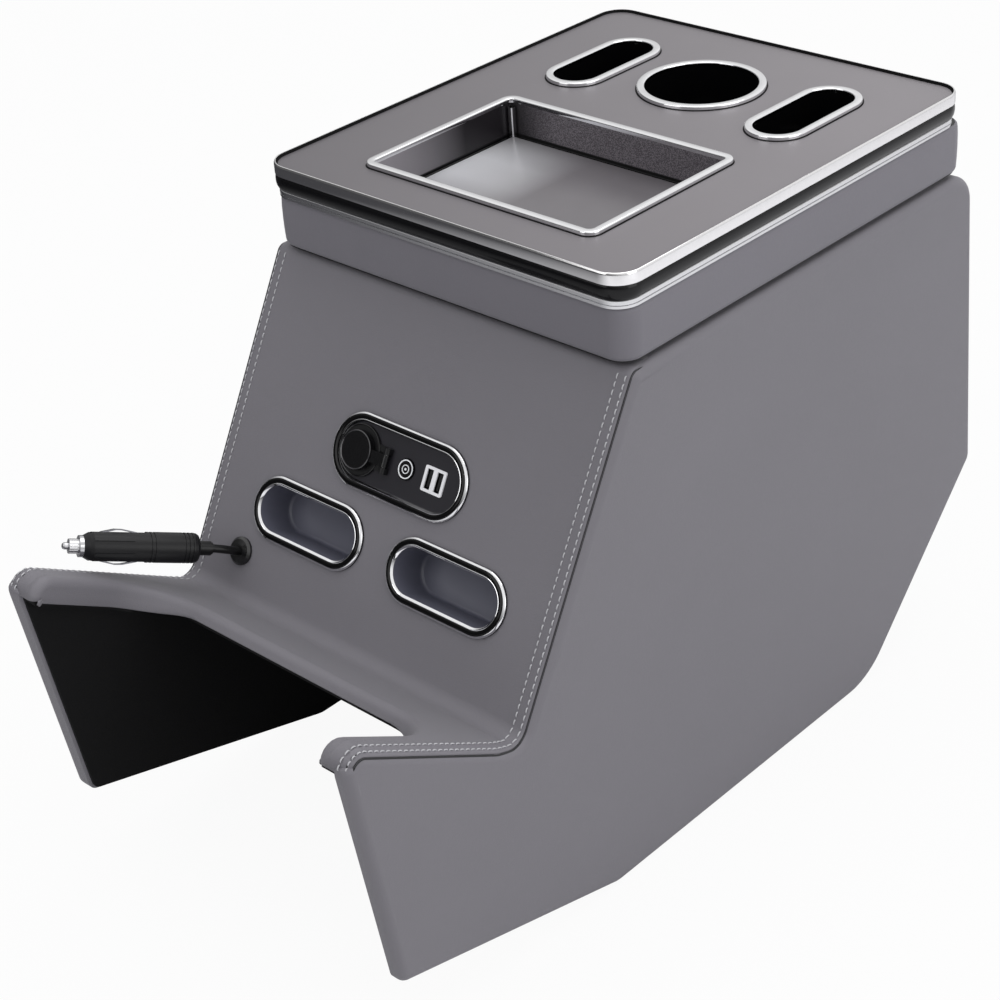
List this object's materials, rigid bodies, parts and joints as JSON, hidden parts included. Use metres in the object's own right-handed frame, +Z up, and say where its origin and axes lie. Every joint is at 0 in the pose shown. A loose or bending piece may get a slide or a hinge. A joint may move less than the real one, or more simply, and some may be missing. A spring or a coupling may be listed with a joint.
{
  "type": "car centre armrest",
  "caption": "Floor-standing car armrest box with a hinged lid carrying a tray, cup holder and slots, and a sloped face with pockets, power panel and tethered plug.",
  "frame": {"origin": "middle of the flat underside, on the floor plane", "axes": "+Z up, -Y towards the sloped face and wings, +X to the right seen from the face"},
  "size_m": [0.3125, 0.622, 0.4252],
  "materials": {
    "leather": "soft grained",
    "board": "black painted",
    "black_plastic": "satin",
    "bin_grey": "satin",
    "gloss_black": "gloss",
    "chrome": "polished",
    "charcoal": "satin",
    "rubber": "matt",
    "nickel": "polished",
    "brass": "plain",
    "white_plastic": "gloss",
    "steel": "plain",
    "black_steel": "satin black",
    "aluminium": "satin"
  },
  "bodies": {
    "body": {"left_side_board": "board", "right_side_board": "board", "front_shell": "black_plastic", "rear_board": "board", "floor_board": "board", "top_frame": "board", "left_side_cover": "leather", "right_side_cover": "leather", "front_cover": "leather", "rear_cover": "leather", "storage_tub": "black_plastic", "left_pocket_bin": "bin_grey", "right_pocket_bin": "bin_grey", "left_pocket_bezel": "gloss_black", "right_pocket_bezel": "gloss_black", "left_pocket_outer_ring": "chrome", "right_pocket_outer_ring": "chrome", "left_pocket_inner_ring": "chrome", "right_pocket_inner_ring": "chrome", "power_bezel": "gloss_black", "power_outer_ring": "chrome", "power_inner_ring": "chrome", "power_faceplate": "charcoal", "power_housing": "black_plastic", "socket_barrel": "black_plastic", "socket_contact": "brass", "cap_hinge_pin": "steel", "usb_module": "black_plastic", "usb_frame": "white_plastic", "cord_grommet": "rubber", "cord": "rubber", "plug_strain_relief": "rubber", "plug_body": "black_plastic", "plug_collar": "nickel", "hinge_bracket": "black_steel", "hinge_pin": "steel", "hinge_screws": "steel"},
    "lid": {"lid_box": "black_plastic", "lid_cover": "leather", "lid_lower_frame": "aluminium", "lid_band": "gloss_black", "lid_upper_frame": "aluminium", "deck_plate": "aluminium", "tray_bin": "bin_grey", "tray_rim": "chrome", "cup_bin": "gloss_black", "cup_rim": "chrome", "left_slot_bin": "gloss_black", "right_slot_bin": "gloss_black", "left_slot_rim": "chrome", "right_slot_rim": "chrome", "lid_hinge_leaf": "black_steel", "leaf_screws": "steel", "lid_bumpers": "rubber"},
    "cap": {"socket_cap": "rubber"},
    "button": {"ring_button": "black_plastic"},
    "tip": {"plug_tip": "nickel"},
    "spring_upper": {"plug_spring_upper": "nickel"},
    "spring_lower": {"plug_spring_lower": "nickel"}
  },
  "joints": [
    {"name": "lid_hinge", "type": "hinge", "parent": "body", "child": "lid", "pos_m": [0, 0.28835, 0.4167], "axis": [-1, 0, 0], "range_deg": [0, 105]},
    {"name": "cap_hinge", "type": "hinge", "parent": "body", "child": "cap", "pos_m": [-0.01, -0.11525, 0.27217], "axis": [0, 0.4879, 0.8729], "range_deg": [0, 110]},
    {"name": "button_press", "type": "slide", "parent": "body", "child": "button", "axis": [0, 0.8729, -0.4879], "range_m": [0, 0.0015], "stiffness_N_per_m": 500, "springref_m": -0.001},
    {"name": "tip_press", "type": "slide", "parent": "body", "child": "tip", "axis": [0.4409, 0.8515, -0.2839], "range_m": [0, 0.0025], "stiffness_N_per_m": 600, "springref_m": -0.002},
    {"name": "spring_upper_flex", "type": "hinge", "parent": "body", "child": "spring_upper", "pos_m": [-0.13867, -0.21486, 0.21743], "axis": [0.8521, -0.2977, 0.4305], "range_deg": [0, 4], "stiffness_Nm_per_rad": 0.4, "springref_deg": -1.72},
    {"name": "spring_lower_flex", "type": "hinge", "parent": "body", "child": "spring_lower", "pos_m": [-0.13489, -0.22064, 0.20595], "axis": [-0.8521, 0.2977, -0.4305], "range_deg": [0, 4], "stiffness_Nm_per_rad": 0.4, "springref_deg": -1.72}
  ]
}
